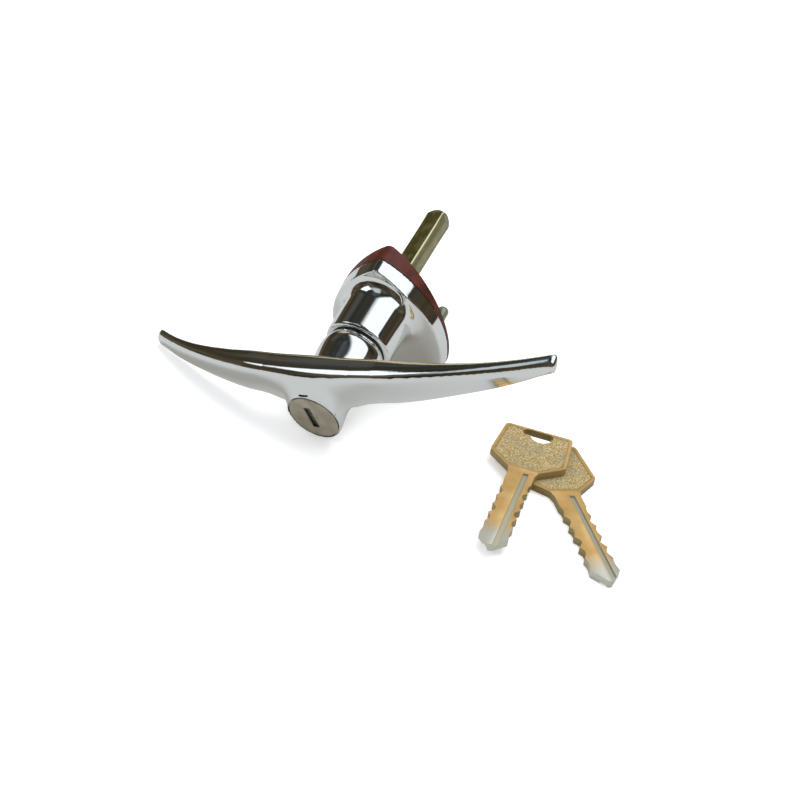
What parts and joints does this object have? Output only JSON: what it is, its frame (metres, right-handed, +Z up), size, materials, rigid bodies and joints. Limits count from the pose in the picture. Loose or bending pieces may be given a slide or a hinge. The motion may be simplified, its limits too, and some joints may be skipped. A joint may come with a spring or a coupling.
{
  "type": "car boot handle",
  "caption": "Chromed T-bar boot handle with a key lock in its hub, a pointed base on a rubber pad, a square drive spindle and loose flat keys.",
  "frame": {"origin": "on the spindle's axis, at the plane where the rubber pad's flat part seats on the boot lid", "axes": "+Z up from the table that the handle and its keys lie on, +X towards the bar's raised tip and the keys, +Y and up along the spindle, away from the lock's face"},
  "size_m": [0.167, 0.1122, 0.0475],
  "materials": {
    "chrome_casting": "polished chrome plating on a die casting, slightly soft with age",
    "plug_steel": "satin pressed cap over the lock plug, with fine turning marks",
    "brass": "plain machined brass inside the lock",
    "key_brass": "nickel and brass key, grainy bow with a smooth rim, worn bright on the blade",
    "spring_steel": "bare spring steel",
    "zinc_steel": "yellow passivated zinc plate, dulled to olive",
    "pad_rubber": "dark red-brown moulded rubber, matt",
    "seal_rubber": "black rubber"
  },
  "bodies": {
    "base": {"escutcheon": "chrome_casting", "mounting_pad": "pad_rubber", "fixing_studs": "zinc_steel", "shank_seal": "seal_rubber", "thrust_washer": "zinc_steel"},
    "grip": {"handle": "chrome_casting", "lock_sleeve": "brass", "spindle": "zinc_steel", "spindle_pin": "spring_steel", "spring_washer": "spring_steel", "shank_circlip": "spring_steel"},
    "plug": {"lock_plug": "brass", "plug_cap": "plug_steel", "wafer_1": "brass", "wafer_2": "brass", "wafer_3": "brass", "wafer_4": "brass", "wafer_5": "brass", "wafer_springs": "spring_steel", "plug_clip": "spring_steel", "drive_cam": "spring_steel"},
    "shutter": {"keyway_shutter": "spring_steel"},
    "bolt": {"lock_bolt": "spring_steel"},
    "key_above": {"upper_key": "key_brass"},
    "key_below": {"lower_key": "key_brass"}
  },
  "joints": [
    {"name": "handle_turn", "type": "hinge", "parent": "base", "child": "grip", "pos_m": [0, 0, 0], "axis": [0, 0.9245, 0.3811], "range_deg": [-90, 0]},
    {"name": "plug_turn", "type": "hinge", "parent": "grip", "child": "plug", "pos_m": [0, 0, 0], "axis": [0, 0.9245, 0.3811], "range_deg": [0, 90]},
    {"name": "shutter_swing", "type": "hinge", "parent": "plug", "child": "shutter", "pos_m": [0.0009, -0.04826, -0.01957], "axis": [0.3173, 0.3614, -0.8768], "range_deg": [0, 80], "stiffness_Nm_per_rad": 0.0005},
    {"name": "bolt_slide", "type": "slide", "parent": "grip", "child": "bolt", "axis": [0.3173, 0.3614, -0.8768], "range_m": [0, 0.0012]},
    {"name": "upper_key_lift", "type": "slide", "parent": "base", "child": "key_above", "axis": [0, 0, 1], "range_m": [0, 0.015]},
    {"name": "lower_key_slide", "type": "slide", "parent": "base", "child": "key_below", "axis": [1, 0, 0], "range_m": [0, 0.03]}
  ],
  "couplings": [
    {"joint": "bolt_slide", "follows": "plug_turn", "m_per_rad": 0.000764}
  ]
}
